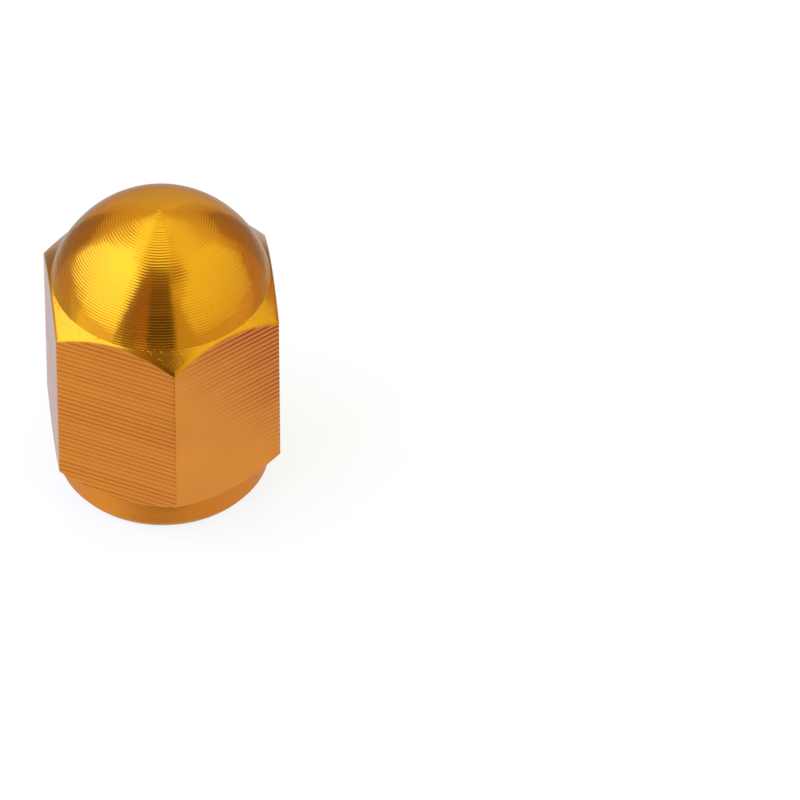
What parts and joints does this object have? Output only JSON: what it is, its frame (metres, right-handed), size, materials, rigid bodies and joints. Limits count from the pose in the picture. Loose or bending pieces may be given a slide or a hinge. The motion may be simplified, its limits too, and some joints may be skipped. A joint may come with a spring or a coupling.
{
  "type": "tyre valve cap",
  "caption": "Hexagonal gold anodised aluminium tyre valve cap with a domed top, chamfered corners and a round collar about a blind threaded bore.",
  "frame": {"origin": "centre of the flat end face round the mouth, on which the cap stands", "axes": "+Z along the cap's axis from the mouth to the dome, two corners of the hexagon on the Y axis, two flats square to the X axis"},
  "size_m": [0.01, 0.0116, 0.0151],
  "materials": {
    "gold_anodised_aluminium": "gold anodised, with fine turning and milling marks"
  },
  "bodies": {
    "root": {"valve_cap": "gold_anodised_aluminium"}
  },
  "joints": []
}
